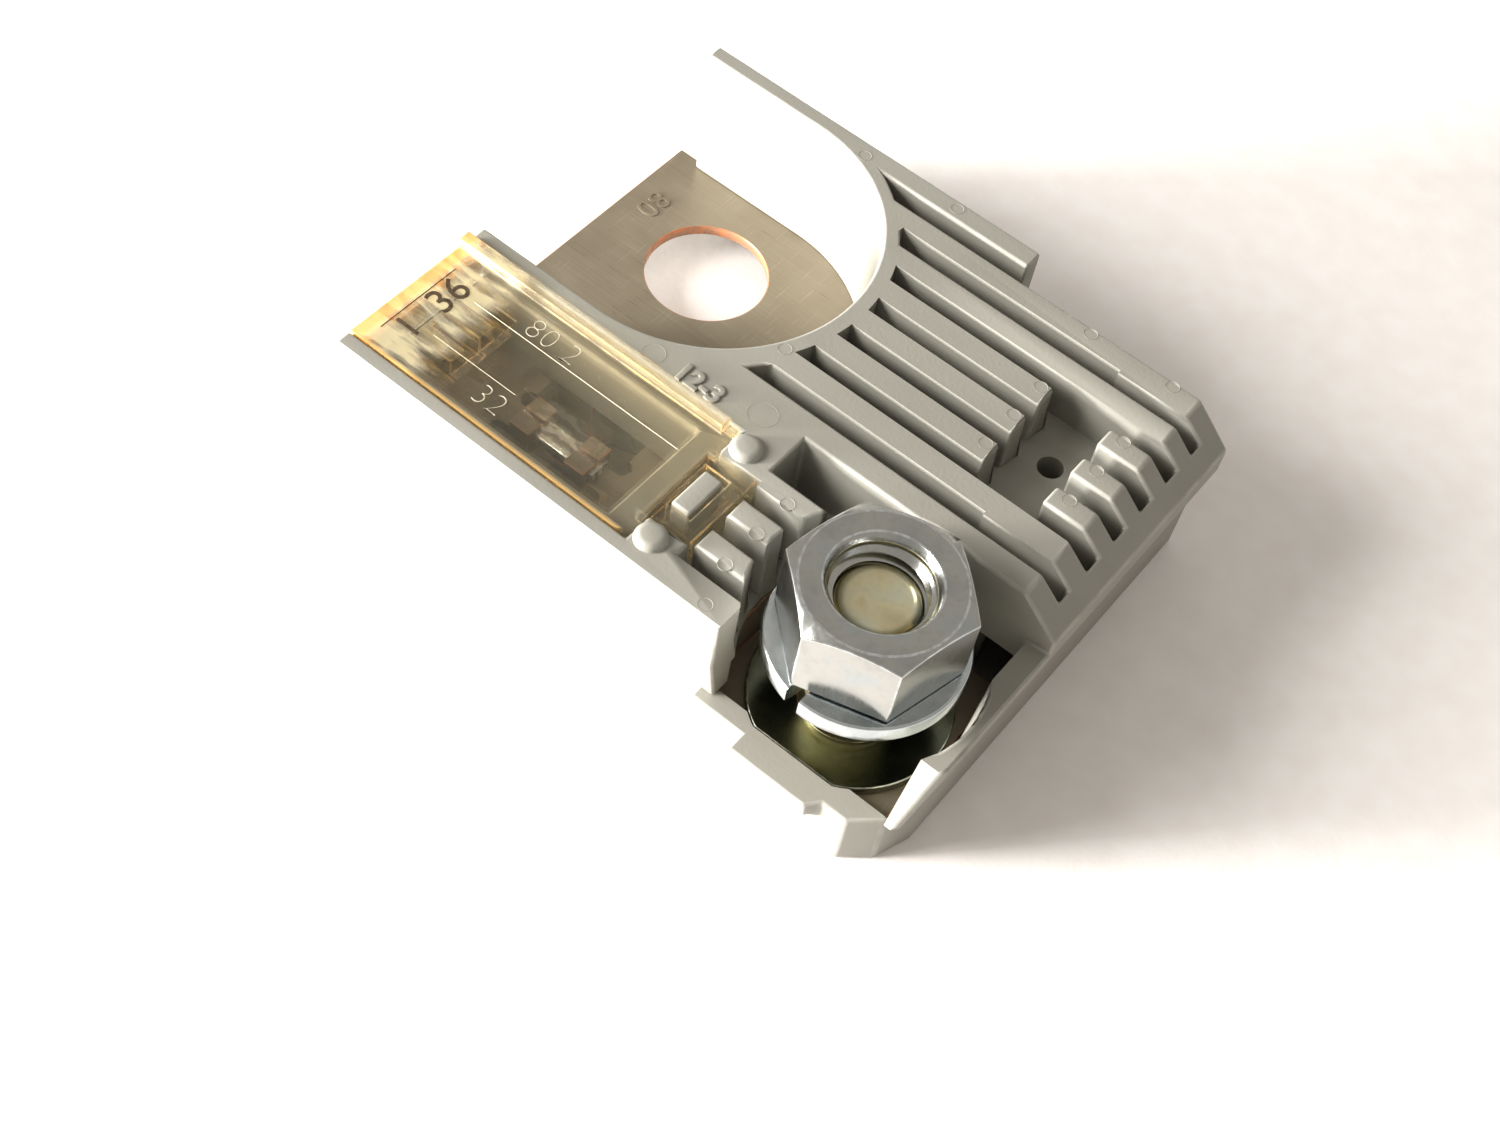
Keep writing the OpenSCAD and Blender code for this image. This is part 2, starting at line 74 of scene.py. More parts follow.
# %% Camera
def place_camera(stands, looks_at, roll, lens):
    """A camera at one point, turned to another, then rolled about its own axis."""
    data = bpy.data.cameras.new("camera")
    data.sensor_width = 36
    data.lens = lens
    data.clip_start = 5 * MM
    data.clip_end = 5
    camera = bpy.data.objects.new("camera", data)
    bpy.context.scene.collection.objects.link(camera)
    camera.location = stands
    level = (looks_at - stands).to_track_quat("-Z", "Y")
    camera.rotation_mode = "QUATERNION"
    camera.rotation_quaternion = level @ Quaternion((0, 0, 1), math.radians(roll))
    bpy.context.scene.camera = camera
    return camera


camera = place_camera(
    stands=Vector((53.73, -80.63, 107.5)) * MM,
    looks_at=Vector((18.77, -19.2, 5.0)) * MM,
    roll=11.18,
    lens=49.74,
)
print("camera stands", round(camera.location.length / MM), "mm from the eye, which is the origin")

# %% [markdown]
# ## Light
# The block lies beside a bright window. The window stands on the -X -Y side, so a soft shadow
# falls towards +X +Y. Light that skims the table from the same side burns the upright faces out to
# white and hardly touches the tops. A dim warm room fills the rest, which is also what the metal
# mirrors. Area lights do this well, because their size sets how soft a shadow's rim is.

# %% Light
def soft_panel(name, stands, aims_at, size, watts, colour):
    """A square area light that faces a point."""
    data = bpy.data.lights.new(name, "AREA")
    data.shape = "SQUARE"
    data.size = size
    data.energy = watts
    data.color = colour
    lamp = bpy.data.objects.new(name, data)
    bpy.context.scene.collection.objects.link(lamp)
    lamp.location = stands
    lamp.rotation_mode = "QUATERNION"
    lamp.rotation_quaternion = (aims_at - stands).to_track_quat("-Z", "Y")
    print(name, "stands", round((aims_at - stands).length / MM), "mm away")


def room_light(strength, colour):
    """An even warm glow from all round."""
    world = bpy.data.worlds.new("room")
    bpy.context.scene.world = world
    world.use_nodes = True
    glow = world.node_tree.nodes["Background"]
    glow.inputs["Color"].default_value = (*colour, 1)
    glow.inputs["Strength"].default_value = strength


block_middle = Vector((15, -10, 5)) * MM
daylight = (1.0, 0.985, 0.95)
soft_panel("window_light", stands=Vector((-215, -235, 190)) * MM, aims_at=block_middle,
           size=170 * MM, watts=1.8, colour=daylight)
soft_panel("skim_light", stands=Vector((-250, -290, 42)) * MM, aims_at=block_middle,
           size=70 * MM, watts=4.6, colour=daylight)
room_light(strength=0.46, colour=(1.0, 0.95, 0.87))
bpy.context.scene.view_settings.view_transform = "Standard"
bpy.context.scene.view_settings.look = "Medium High Contrast"

# %% [markdown]
# ## Shared shading steps
# Every finish below is made of the same few steps, and each step is a function that adds its nodes
# and gives back its result. The first two start a finish and lay a cloudy pattern over it. The
# pattern reads Object coordinates, so that it stays fixed to the piece when the piece moves.

# %% Patterns
def start_finish(name):
    """A new material, with its tree, its main shader and places fixed to the piece."""
    material = bpy.data.materials.new(name)
    material.use_nodes = True
    tree = material.node_tree
    place = tree.nodes.new("ShaderNodeTexCoord").outputs["Object"]
    return material, tree, tree.nodes["Principled BSDF"], place


def cloud(tree, place, size, detail=3.0, stretch=(1, 1, 1), turn=0.0):
    """Soft noise whose lumps are about size across, drawn out along the axes by stretch."""
    mapping = tree.nodes.new("ShaderNodeMapping")
    mapping.inputs["Rotation"].default_value = (0, 0, math.radians(turn))
    mapping.inputs["Scale"].default_value = tuple(1 / s for s in stretch)
    tree.links.new(place, mapping.inputs["Vector"])
    noise = tree.nodes.new("ShaderNodeTexNoise")
    noise.inputs["Scale"].default_value = 1 / size
    noise.inputs["Detail"].default_value = detail
    tree.links.new(mapping.outputs["Vector"], noise.inputs["Vector"])
    return noise.outputs["Fac"]


# %% [markdown]
# A pattern is only an amount between 0 and 1. The next steps turn it into colours or into numbers,
# and lay one colour over another.

# %% Blends
def colours(tree, amount, *stops):
    """Colours laid along an amount from 0 to 1; each stop is a position and a colour."""
    ramp = tree.nodes.new("ShaderNodeValToRGB")
    while len(ramp.color_ramp.elements) < len(stops):
        ramp.color_ramp.elements.new(1.0)
    for element, (at, colour) in zip(ramp.color_ramp.elements, stops):
        element.position = at
        element.color = (*colour, 1)
    tree.links.new(amount, ramp.inputs["Fac"])
    return ramp.outputs["Color"]


def spread(tree, amount, low, high, start=0.3, end=0.7):
    """Maps an amount's run from start to end, by default a noise's middle, onto low to high."""
    node = tree.nodes.new("ShaderNodeMapRange")
    node.inputs["From Min"].default_value = start
    node.inputs["From Max"].default_value = end
    node.inputs["To Min"].default_value = low
    node.inputs["To Max"].default_value = high
    tree.links.new(amount, node.inputs["Value"])
    return node.outputs["Result"]


def share(tree, amount, most):
    """Scales an amount that runs from 0 to 1 down to one that runs from 0 to most."""
    return spread(tree, amount, low=0.0, high=most, start=0.0, end=1.0)


def combined(tree, first, second, how="MULTIPLY"):
    """Two amounts joined by arithmetic, which is multiplication unless how says otherwise."""
    node = tree.nodes.new("ShaderNodeMath")
    node.operation = how
    tree.links.new(first, node.inputs[0])
    tree.links.new(second, node.inputs[1])
    return node.outputs["Value"]


def feed(tree, value, socket):
    """Links a node's output to a socket, or sets the socket to a plain colour or number."""
    if isinstance(value, bpy.types.NodeSocket):
        tree.links.new(value, socket)
    elif isinstance(value, tuple):
        socket.default_value = (*value, 1)
    else:
        socket.default_value = value


def over(tree, amount, below, above, blend="MIX"):
    """One colour laid over another by an amount."""
    below_socket, above_socket, result = 6, 7, 2
    node = tree.nodes.new("ShaderNodeMix")
    node.data_type = "RGBA"
    node.blend_type = blend
    feed(tree, amount, node.inputs["Factor"])
    feed(tree, below, node.inputs[below_socket])
    feed(tree, above, node.inputs[above_socket])
    return node.outputs[result]


# %% [markdown]
# Two last steps give a finish its age and its touch. Handling wears the rounded edges first, in
# patches, and no real surface is perfectly smooth. The amber window reads the same edge patches for
# a painted orange rim glow.

# %% Wear and relief
def rounded_edge_patches(tree, grain):
    """The rounded edges, broken up by a noise."""
    mark = tree.nodes.new("ShaderNodeAttribute")
    mark.attribute_name = "edge"
    patches = spread(tree, grain, low=0.35, high=1.0, start=0.4, end=0.6)
    return combined(tree, mark.outputs["Fac"], patches)


def relief(tree, shader, height, depth, strength=1.0):
    """Small bumps, depth being the height in metres that the full amount stands for."""
    node = tree.nodes.new("ShaderNodeBump")
    node.inputs["Strength"].default_value = strength
    node.inputs["Distance"].default_value = depth
    tree.links.new(height, node.inputs["Height"])
    tree.links.new(node.outputs["Normal"], shader.inputs["Normal"])


# %% [markdown]
# ## Paper
# The block lies on white paper, which is felted fibre: nearly even in tone, with a faint mottle
# and no shine. One wide grid of a single face is enough, since the fibres are far too fine to model.

# %% Paper
def paper_floor(level, half_width=600 * MM):
    """A wide sheet of paper at one level."""
    bm = bmesh.new()
    bmesh.ops.create_grid(bm, x_segments=1, y_segments=1, size=half_width)
    bmesh.ops.translate(bm, verts=bm.verts, vec=(0, 0, level))
    mesh = bpy.data.meshes.new("paper")
    bm.to_mesh(mesh)
    bm.free()
    sheet = bpy.data.objects.new("paper", mesh)
    bpy.context.scene.collection.objects.link(sheet)
    material, tree, shader, place = start_finish("white_paper")
    mottle = cloud(tree, place, 2.2 * MM, detail=5)
    tone = colours(tree, mottle, (0.3, (0.90, 0.865, 0.85)), (0.7, (0.94, 0.91, 0.90)))
    tree.links.new(tone, shader.inputs["Base Color"])
    tree.links.new(spread(tree, mottle, low=0.8, high=0.95), shader.inputs["Roughness"])
    relief(tree, shader, cloud(tree, place, 0.5 * MM, detail=4), 0.02 * MM, strength=0.5)
    mesh.materials.append(material)
    print("paper lies at", round(level / MM, 2), "mm")


paper_floor(cad_low.z - 0.02 * MM)

# %% [markdown]
# ## Imported solids as flat faces
# A imported solid's mesh is loose triangles. A copy of it is merged and its flat facets are joined,
# so that each wall is one face and each edge is one edge, which is what a bevel needs. A face layer
# named edge is added for the rounds' mark, which places wear and, on the amber window, a painted rim
# glow.

# %% Flat faces
def merged_copy(node):
    """A CAD node's mesh with its loose triangles joined into whole flat faces."""
    bm = bmesh.new()
    bm.from_mesh(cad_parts[node].data)
    bm.faces.layers.float.new("edge")
    bmesh.ops.remove_doubles(bm, verts=bm.verts, dist=0.003 * MM)
    join_flats(bm)
    return bm


def join_flats(bm):
    """Joins faces that lie in one plane."""
    bmesh.ops.dissolve_limit(bm, angle_limit=math.radians(0.6), verts=bm.verts, edges=bm.edges)


def everything(bm):
    """All of a bmesh's geometry, as the cutting and spinning operators take it."""
    return list(bm.verts) + list(bm.edges) + list(bm.faces)


def faces_of(bm, verts):
    """The faces whose corners are all among some vertices."""
    known = set(verts)
    return [f for f in bm.faces if all(v in known for v in f.verts)]


def only(kind, geometry):
    """The vertices, the edges or the faces among mixed geometry."""
    return [g for g in geometry if isinstance(g, kind)]


# %% [markdown]
# ## Rounded edges
# A mould leaves no sharp edge: every rib and slot is rounded by about a quarter of a millimetre, and
# those small rounds carry the highlights. Edges shorter than the round is wide are left alone,
# because a bevel there would fold over itself. The new faces carry the mark named edge, which the
# finishes read to place wear, and which the amber window reads to place a painted orange rim glow.

# %% Rounded edges
def sharp_edges(bm, turn):
    """The edges where two faces meet at more than an angle."""
    return [e for e in bm.edges if e.is_manifold and e.calc_face_angle(0) > math.radians(turn)]


def bevel_edges(bm, edges, radius, segments, clamp=True):
    """Rounds chosen edges and gives back the new faces."""
    return bmesh.ops.bevel(bm, geom=edges, offset=radius, offset_type="OFFSET",
                           segments=segments, profile=0.5, affect="EDGES",
                           clamp_overlap=clamp, material=-1)["faces"]


def mark_edge_faces(bm, faces):
    """Sets the edge mark on some faces, which places wear and, on the window, a painted rim glow."""
    mark = bm.faces.layers.float["edge"]
    for face in faces:
        face[mark] = 1.0


def round_edges(bm, radius, turn=25):
    """Rounds the sharp edges that have room for it and touch no short sharp edge."""
    room = 2.2 * radius
    sharp = sharp_edges(bm, turn)
    tight = {v for e in sharp if e.calc_length() < room for v in e.verts}
    edges = [e for e in sharp if e.calc_length() > room and not (set(e.verts) & tight)]
    mark_edge_faces(bm, bevel_edges(bm, edges, radius, segments=2, clamp=False))
    return len(edges)


def round_rims(bm, radius, turn=25):
    """Rounds the fine-faceted rims that round_edges leaves alone."""
    edges = sharp_edges(bm, turn)
    mark_edge_faces(bm, bevel_edges(bm, edges, radius, segments=2))
    return len(edges)


# %% [markdown]
# ## Finished pieces
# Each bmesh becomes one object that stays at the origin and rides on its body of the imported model.
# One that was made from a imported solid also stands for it. Faces are smooth up to a crease, and
# weighted normals keep the flats flat beside their small rounds.

# %% Finished pieces
def finished(name, bm, body, material, stands_for=(), crease=38):
    """Turns a bmesh into a finished piece that rides on its body."""
    bmesh.ops.recalc_face_normals(bm, faces=bm.faces)
    mesh = bpy.data.meshes.new(name)
    bm.to_mesh(mesh)
    bm.free()
    mesh.polygons.foreach_set("use_smooth", [True] * len(mesh.polygons))
    mesh.set_sharp_from_angle(angle=math.radians(crease))
    obj = bpy.data.objects.new(name, mesh)
    bpy.context.scene.collection.objects.link(obj)
    even = obj.modifiers.new("even_shading", "WEIGHTED_NORMAL")
    even.keep_sharp = True
    mesh.materials.append(material)
    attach(obj, body)
    if stands_for:
        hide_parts(*stands_for)
    print(name, "has", len(mesh.polygons), "faces")


# %% [markdown]
# ## Raised figures
# Plain figures are moulded, stamped or printed on several pieces. A text object gives their
# outline. It is made a mesh, scaled to its height, turned and set in place, and then joins the
# piece's own bmesh, so that nothing separate has to be kept in step.

# %% Raised figures
def add_numerals(bm, text, height, thick, middle, turn=0.0, thinner=0.0, rounded=0.0):
    """Adds plain raised figures, their middle at a point and their line turned about Z."""
    words = bpy.data.curves.new("figures", "FONT")
    words.body = text
    words.extrude = 0.5 if rounded == 0 else rounded
    words.offset = -thinner
    words.bevel_depth = rounded
    words.bevel_resolution = 2
    words.resolution_u = 3
    holder = bpy.data.objects.new("figures", words)
    mesh = bpy.data.meshes.new_from_object(holder)
    bpy.data.objects.remove(holder)
    low = Vector([min(v.co[i] for v in mesh.vertices) for i in range(3)])
    high = Vector([max(v.co[i] for v in mesh.vertices) for i in range(3)])
    size = height / (high.y - low.y)
    to_place = (Matrix.Translation(middle) @ Matrix.Rotation(math.radians(turn), 4, "Z")
                @ Matrix.Diagonal((size, size, thick / (high.z - low.z), 1))
                @ Matrix.Translation(-(low + high) / 2))
    mesh.transform(to_place)
    before = len(bm.verts)
    bm.from_mesh(mesh)
    bpy.data.meshes.remove(mesh)
    bm.verts.ensure_lookup_table()
    new_verts = [bm.verts[i] for i in range(before, len(bm.verts))]
    bmesh.ops.remove_doubles(bm, verts=new_verts, dist=0.004 * MM)
    print("figures", text, "are", round(height / MM, 2), "mm high")


# %% [markdown]
# ## Nylon
# The housing and its tray are glass-filled nylon, grey and slightly waxy. The mould's own surface
# shows as a fine grain, flow leaves faint clouds, and edges that are handled turn paler and
# smoother. Both parts take one finish function, because only their tone and gloss differ.

# %% Nylon finishes
def moulded_plastic(name, dark, light, worn, rough):
    """Grained grey plastic with faint clouds and paler edges."""
    material, tree, shader, place = start_finish(name)
    flow = cloud(tree, place, 5 * MM, detail=4, stretch=(2.2, 1, 1), turn=12)
    grain = cloud(tree, place, 0.22 * MM, detail=3)
    tone = colours(tree, flow, (0.3, dark), (0.7, light))
    edge = rounded_edge_patches(tree, cloud(tree, place, 1.4 * MM, detail=3))
    faint = share(tree, edge, 0.6)
    tree.links.new(over(tree, faint, tone, worn), shader.inputs["Base Color"])
    gloss = combined(tree, spread(tree, flow, rough, rough + 0.10), share(tree, edge, 0.10),
                     "SUBTRACT")
    tree.links.new(gloss, shader.inputs["Roughness"])
    shader.inputs["Specular IOR Level"].default_value = 0.45
    relief(tree, shader, combined(tree, grain, spread(tree, flow, 0.0, 1.5), "ADD"),
           0.012 * MM, strength=0.8)
    print(name, "has", len(tree.nodes), "nodes")
    return material


worn_nylon = (0.43, 0.42, 0.38)
housing_finish = moulded_plastic("grey_nylon", dark=(0.295, 0.287, 0.255),
                                 light=(0.33, 0.322, 0.288), worn=worn_nylon, rough=0.36)
tray_finish = moulded_plastic("tray_nylon", dark=(0.30, 0.290, 0.26),
                              light=(0.335, 0.325, 0.292), worn=worn_nylon, rough=0.40)

# %% [markdown]
# ## Pin marks
# Round marks about a millimetre across show where pins pushed the housing out of the mould. They
# stand in two rows along the ribs, on the wider tops between the slots and beside the stud. Each
# is a low disc that is extruded from a circle, and an inset gives it a rim round a sunk middle.

# %% Pin marks
post_rise = 0.5 * MM
rib_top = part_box("housing")[1].z - post_rise


def ejector_mark(bm, x, y, radius=0.45 * MM, height=0.018 * MM):
    """A round mark left by a mould pin: a low disc with a sunk middle."""
    root = 0.05 * MM
    rim = 0.055 * MM
    sunk = 0.012 * MM
    ring = bmesh.ops.create_circle(bm, cap_ends=True, segments=28, radius=radius,
                                   matrix=Matrix.Translation((x, y, rib_top - root)))["verts"]
    raised = bmesh.ops.extrude_face_region(bm, geom=faces_of(bm, ring))["geom"]
    cap = only(bmesh.types.BMFace, raised)
    bmesh.ops.translate(bm, verts=only(bmesh.types.BMVert, raised), vec=(0, 0, height + root))
    bmesh.ops.inset_region(bm, faces=cap, thickness=rim, depth=0)
    bmesh.ops.translate(bm, verts=list({v for f in cap for v in f.verts}),
                        vec=(0, 0, -height - sunk))


first_rib = -0.75
rib_pitch = 2.97
rib_marks = [(x, first_rib - k * rib_pitch) for x in (25.9, 32.0) for k in range(3)]
wall_marks = [(13.5, 7.7), (25.8, 5.0), (31.9, 5.05), (6.3, 7.2), (12.7, -9.4)]
stud_marks = [(20.0, -18.4), (20.0, -21.25), (20.0, -24.1), (20.9, -26.95)]
pin_marks = rib_marks + wall_marks + stud_marks
print("small pin marks:", len(pin_marks))

# %% [markdown]
# ## Ribbed housing
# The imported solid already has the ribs, the slots and the posts. What the mould adds is modelled
# here: domed posts, rounded edges, the pin marks, two larger ones by the figures, and the figures.

# %% Ribbed housing
mould_round = 0.22 * MM
dome = 0.75 * MM
bm = merged_copy("housing")
post_rims = [e for e in sharp_edges(bm, 60)
             if all(v.co.z > rib_top + 0.3 * MM for v in e.verts)]
bevel_edges(bm, post_rims, dome, segments=5)
print("housing edges rounded:", round_edges(bm, mould_round))
for x, y in pin_marks:
    ejector_mark(bm, x * MM, y * MM)
ejector_mark(bm, 7.2 * MM, -15.25 * MM, radius=0.75 * MM)
ejector_mark(bm, 14.9 * MM, -14.3 * MM, radius=0.95 * MM, height=0.015 * MM)
add_numerals(bm, "12-3", height=1.5 * MM, thick=0.26 * MM,
             middle=Vector((10.8, -15.1, 11.42)) * MM, thinner=-0.01, rounded=0.045)
finished("ribbed_housing", bm, "block", housing_finish, ["housing"])

# %% [markdown]
# ## Lower tray
# The tray is moulded in another tool, and its corner by the stud is the part that rubs against the
# battery box. The lug on its front is only a thin shelf, open underneath, so that the tool can draw
# off it. Two level cuts give the shelf its thickness, and what is below them moves back to the wall.

# %% Lower tray
shelf_top = 1.6 * MM
shelf_under = 1.5 * MM
lug_y = -28.2 * MM
wall_y = -27.75 * MM
bm = merged_copy("base_cover")
for level in (shelf_top, shelf_under):
    bmesh.ops.bisect_plane(bm, geom=everything(bm), dist=1e-7, plane_co=(0, 0, level),
                           plane_no=(0, 0, 1))
for v in bm.verts:
    if v.co.z < (shelf_top + shelf_under) / 2 and v.co.y < lug_y:
        v.co.y = wall_y
join_flats(bm)
print("tray edges rounded:", round_edges(bm, mould_round))
finished("lower_tray", bm, "block", tray_finish, ["base_cover"])

# %% [markdown]
# ## Tinned copper
# One blank of copper is stamped, tinned and bent. Tin covers both faces, but the sheared rims are
# cut after plating and stay copper red. Rolling leaves long fine lines, and sliding over other
# parts leaves short bright scratches across them. Both are noises stretched far along one axis.

# %% Tinned copper finish
def tinned_copper():
    """Dull tin over copper: rolled lines, stray scratches and bare red rims."""
    material, tree, shader, place = start_finish("tin_over_copper")
    rolled = cloud(tree, place, 0.16 * MM, detail=4, stretch=(60, 1, 1), turn=4)
    stain = cloud(tree, place, 2.6 * MM, detail=4)
    tone = colours(tree, stain, (0.3, (0.25, 0.212, 0.158)), (0.7, (0.29, 0.25, 0.19)))
    lines = colours(tree, rolled, (0.35, (0.20, 0.168, 0.125)), (0.65, (0.34, 0.30, 0.235)))
    tone = over(tree, spread(tree, stain, 0.08, 0.25), tone, lines)
    scratch = cloud(tree, place, 0.07 * MM, detail=1, stretch=(1, 45, 1), turn=-28)
    thin = spread(tree, scratch, low=0.0, high=0.4, start=0.70, end=0.74)
    tone = over(tree, thin, tone, (0.46, 0.42, 0.34))
    edge = rounded_edge_patches(tree, cloud(tree, place, 1.1 * MM, detail=3))
    tree.links.new(over(tree, edge, tone, (0.62, 0.27, 0.14)), shader.inputs["Base Color"])
    shader.inputs["Metallic"].default_value = 0.4
    gloss = combined(tree, spread(tree, stain, 0.24, 0.34), spread(tree, rolled, 0.0, 0.12),
                     "ADD")
    tree.links.new(gloss, shader.inputs["Roughness"])
    relief(tree, shader, rolled, 0.004 * MM, strength=0.6)
    print("tin_over_copper has", len(tree.nodes), "nodes")
    return material


strip_finish = tinned_copper()

# %% [markdown]
# ## Copper strip
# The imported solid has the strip's whole shape: the eye, the bends, the narrow link and the plate
# under the washers. The eye's wall is a sheared rim too, so its faces take the wear mark, which is
# what turns them red. Figures stand beside the eye.

# %% Copper strip
eye_r = 4.3 * MM
bm = merged_copy("bus_bar")
eye_wall = []
for face in bm.faces:
    upright = abs(face.normal.z) < 0.5
    if upright and face.calc_center_median().xy.length < eye_r + 0.1 * MM:
        eye_wall.append(face)
mark_edge_faces(bm, eye_wall)
print("strip edges rounded:", round_edges(bm, 0.07 * MM, turn=40))
add_numerals(bm, "80", height=1.7 * MM, thick=0.10 * MM,
             middle=Vector((-6.75, 2.3, 0.8)) * MM, turn=-90)
finished("copper_strip", bm, "block", strip_finish, ["bus_bar"])

# %% [markdown]
# ## Tin bead
# A bead of tin sits on the narrow link under two folded claws. When the link runs hot for long the
# tin alloys with the copper and lowers its melting point, which is what sets the delay. It was
# pressed on hot, so its skin is swirled and bright: a wave of rings, much distorted, draws that.

# %% Tin bead
def swirled_tin():
    """Bright bare tin with the swirls of hot pressing."""
    material, tree, shader, place = start_finish("swirled_tin")
    wave = tree.nodes.new("ShaderNodeTexWave")
    wave.wave_type = "RINGS"
    wave.inputs["Scale"].default_value = 1 / (2.4 * MM)
    wave.inputs["Distortion"].default_value = 9.0
    wave.inputs["Detail"].default_value = 3.0
    tree.links.new(place, wave.inputs["Vector"])
    swirl = wave.outputs["Fac"]
    tone = colours(tree, swirl, (0.1, (0.35, 0.33, 0.30)), (0.8, (0.86, 0.84, 0.8)))
    edge = rounded_edge_patches(tree, cloud(tree, place, 0.5 * MM, detail=3))
    tree.links.new(over(tree, edge, tone, (0.9, 0.89, 0.86)), shader.inputs["Base Color"])
    shader.inputs["Metallic"].default_value = 1.0
    tree.links.new(spread(tree, swirl, 0.18, 0.42), shader.inputs["Roughness"])
    relief(tree, shader, swirl, 0.05 * MM, strength=0.8)
    return material


bm = merged_copy("tin_pellet")
print("bead edges rounded:", round_edges(bm, 0.12 * MM))
finished("tin_bead", bm, "block", swirled_tin(), ["tin_pellet"])

# %% [markdown]
# ## Amber plastic
# The window is clear plastic with a little amber dye, which sits in its volume. A thin plate looks
# nearly colourless, but light that runs lengthwise through a rim crosses far more dye and comes out
# orange. That orange is also painted on the surface, at the hinge end, the front rim and the rounded
# edges, as a painted glow of light through the rims. Its ribs by the hinge are lit from the end, and
# that pale milky look is painted on too, as painted end light.

# %% Amber plastic finish
def fade_out(tree, axis, start, end):
    """An amount that is 1 up to one place along an axis and 0 beyond another."""
    return spread(tree, axis, low=1.0, high=0.0, start=start, end=end)


def amber_plastic():
    """Clear dyed plastic: dye in the volume, painted rim glow and end light on the surface, fine
    scuffs.
    """
    material, tree, shader, place = start_finish("amber_plastic")
    shader.inputs["IOR"].default_value = 1.46
    haze = cloud(tree, place, 1.8 * MM, detail=4)
    tone = colours(tree, haze, (0.3, (1.0, 0.965, 0.86)), (0.7, (1.0, 0.99, 0.94)))
    parts = tree.nodes.new("ShaderNodeSeparateXYZ")
    tree.links.new(place, parts.inputs["Vector"])
    along_x = parts.outputs["X"]
    # Painted glow: orange at the hinge end, the front rim and the rounded edges stands for light
    # running lengthwise through them.
    hinge_end = fade_out(tree, along_x, -6.3 * MM, -5.7 * MM)
    front_rim = fade_out(tree, parts.outputs["Y"], -26.3 * MM, -26.1 * MM)
    painted_rim_glow = combined(tree, hinge_end, front_rim, "MAXIMUM")
    edge = rounded_edge_patches(tree, haze)
    painted_rim_glow = combined(tree, painted_rim_glow, edge, "MAXIMUM")
    # Painted end light: a pale streaky colour on the ribs by the hinge stands for light entering
    # from their end.
    comb = fade_out(tree, along_x, -2.6 * MM, -1.4 * MM)
    streak = cloud(tree, place, 0.8 * MM, detail=2, stretch=(5, 1, 1))
    streak = spread(tree, streak, low=0.2, high=1.0, start=0.42, end=0.58)
    painted_end_light = combined(tree, comb, streak)
    tone = over(tree, painted_end_light, tone, (0.96, 0.86, 0.58))
    tree.links.new(over(tree, painted_rim_glow, tone, (0.93, 0.62, 0.26)), shader.inputs["Base Color"])
    clear = combined(tree, spread(tree, painted_rim_glow, low=0.9, high=0.45, start=0.0, end=1.0),
                     spread(tree, painted_end_light, low=1.0, high=0.45, start=0.0, end=1.0))
    tree.links.new(clear, shader.inputs["Transmission Weight"])
    scuff = cloud(tree, place, 0.10 * MM, detail=2, stretch=(30, 1, 1), turn=36)
    gloss = combined(tree, spread(tree, scuff, low=0.03, high=0.16, start=0.5, end=0.8),
                     share(tree, edge, 0.2), "ADD")
    tree.links.new(gloss, shader.inputs["Roughness"])
    veil = combined(tree, spread(tree, haze, 0.22, 0.32), share(tree, painted_rim_glow, 0.50), "ADD")
    veil = combined(tree, veil, share(tree, painted_end_light, 0.50), "ADD")
    tree.links.new(veil, shader.inputs["Alpha"])
    relief(tree, shader, haze, 0.03 * MM, strength=0.5)
    dye = tree.nodes.new("ShaderNodeVolumeAbsorption")
    dye.inputs["Color"].default_value = (1.0, 0.84, 0.42, 1)
    dye.inputs["Density"].default_value = 170.0
    tree.links.new(dye.outputs["Volume"], tree.nodes["Material Output"].inputs["Volume"])
    print("amber_plastic has", len(tree.nodes), "nodes")
    return material


window_finish = amber_plastic()

# %% [markdown]
# ## Amber window
# The window is one moulding and it swings, so it rides on the body named cover. A tight round of a
# tenth of a millimetre keeps its rims crisp, as on real thin plastic, and the edge mark on the
# rounds is what carries the painted orange rim glow.

# %% Amber window
bm = merged_copy("window_cover")
print("window edges rounded:", round_edges(bm, 0.10 * MM))
finished("amber_window", bm, "cover", window_finish, ["window_cover"])

# %% [markdown]
# ## Marks on the window
# Two kinds of mark stand on the window. Dark figures are printed beside the hinge, and pale ones are
# cut in the mould, so they stand up a little and catch the light, like the two long parting lines.
# The light they catch is painted, as a pale colour on them. Each kind is one piece of its own,
# because its finish isn't the plastic's.

# %% Marking tools
window_top = 11.4


def on_window(x, y, up=0.0):
    """A point on the window's outer face, given in millimetres."""
    return Vector((x, y, window_top + up)) * MM


def print_and_glint_coat(name, dark, light, rough):
    """Printed marks, or raised marks with a painted highlight: an uneven coat with a slightly rough
    face.
    """
    material, tree, shader, place = start_finish(name)
    blotch = cloud(tree, place, 0.3 * MM, detail=4)
    tone = colours(tree, blotch, (0.3, dark), (0.7, light))
    tree.links.new(tone, shader.inputs["Base Color"])
    tree.links.new(spread(tree, blotch, rough, rough + 0.2), shader.inputs["Roughness"])
    relief(tree, shader, blotch, 0.01 * MM, strength=0.6)
    return material


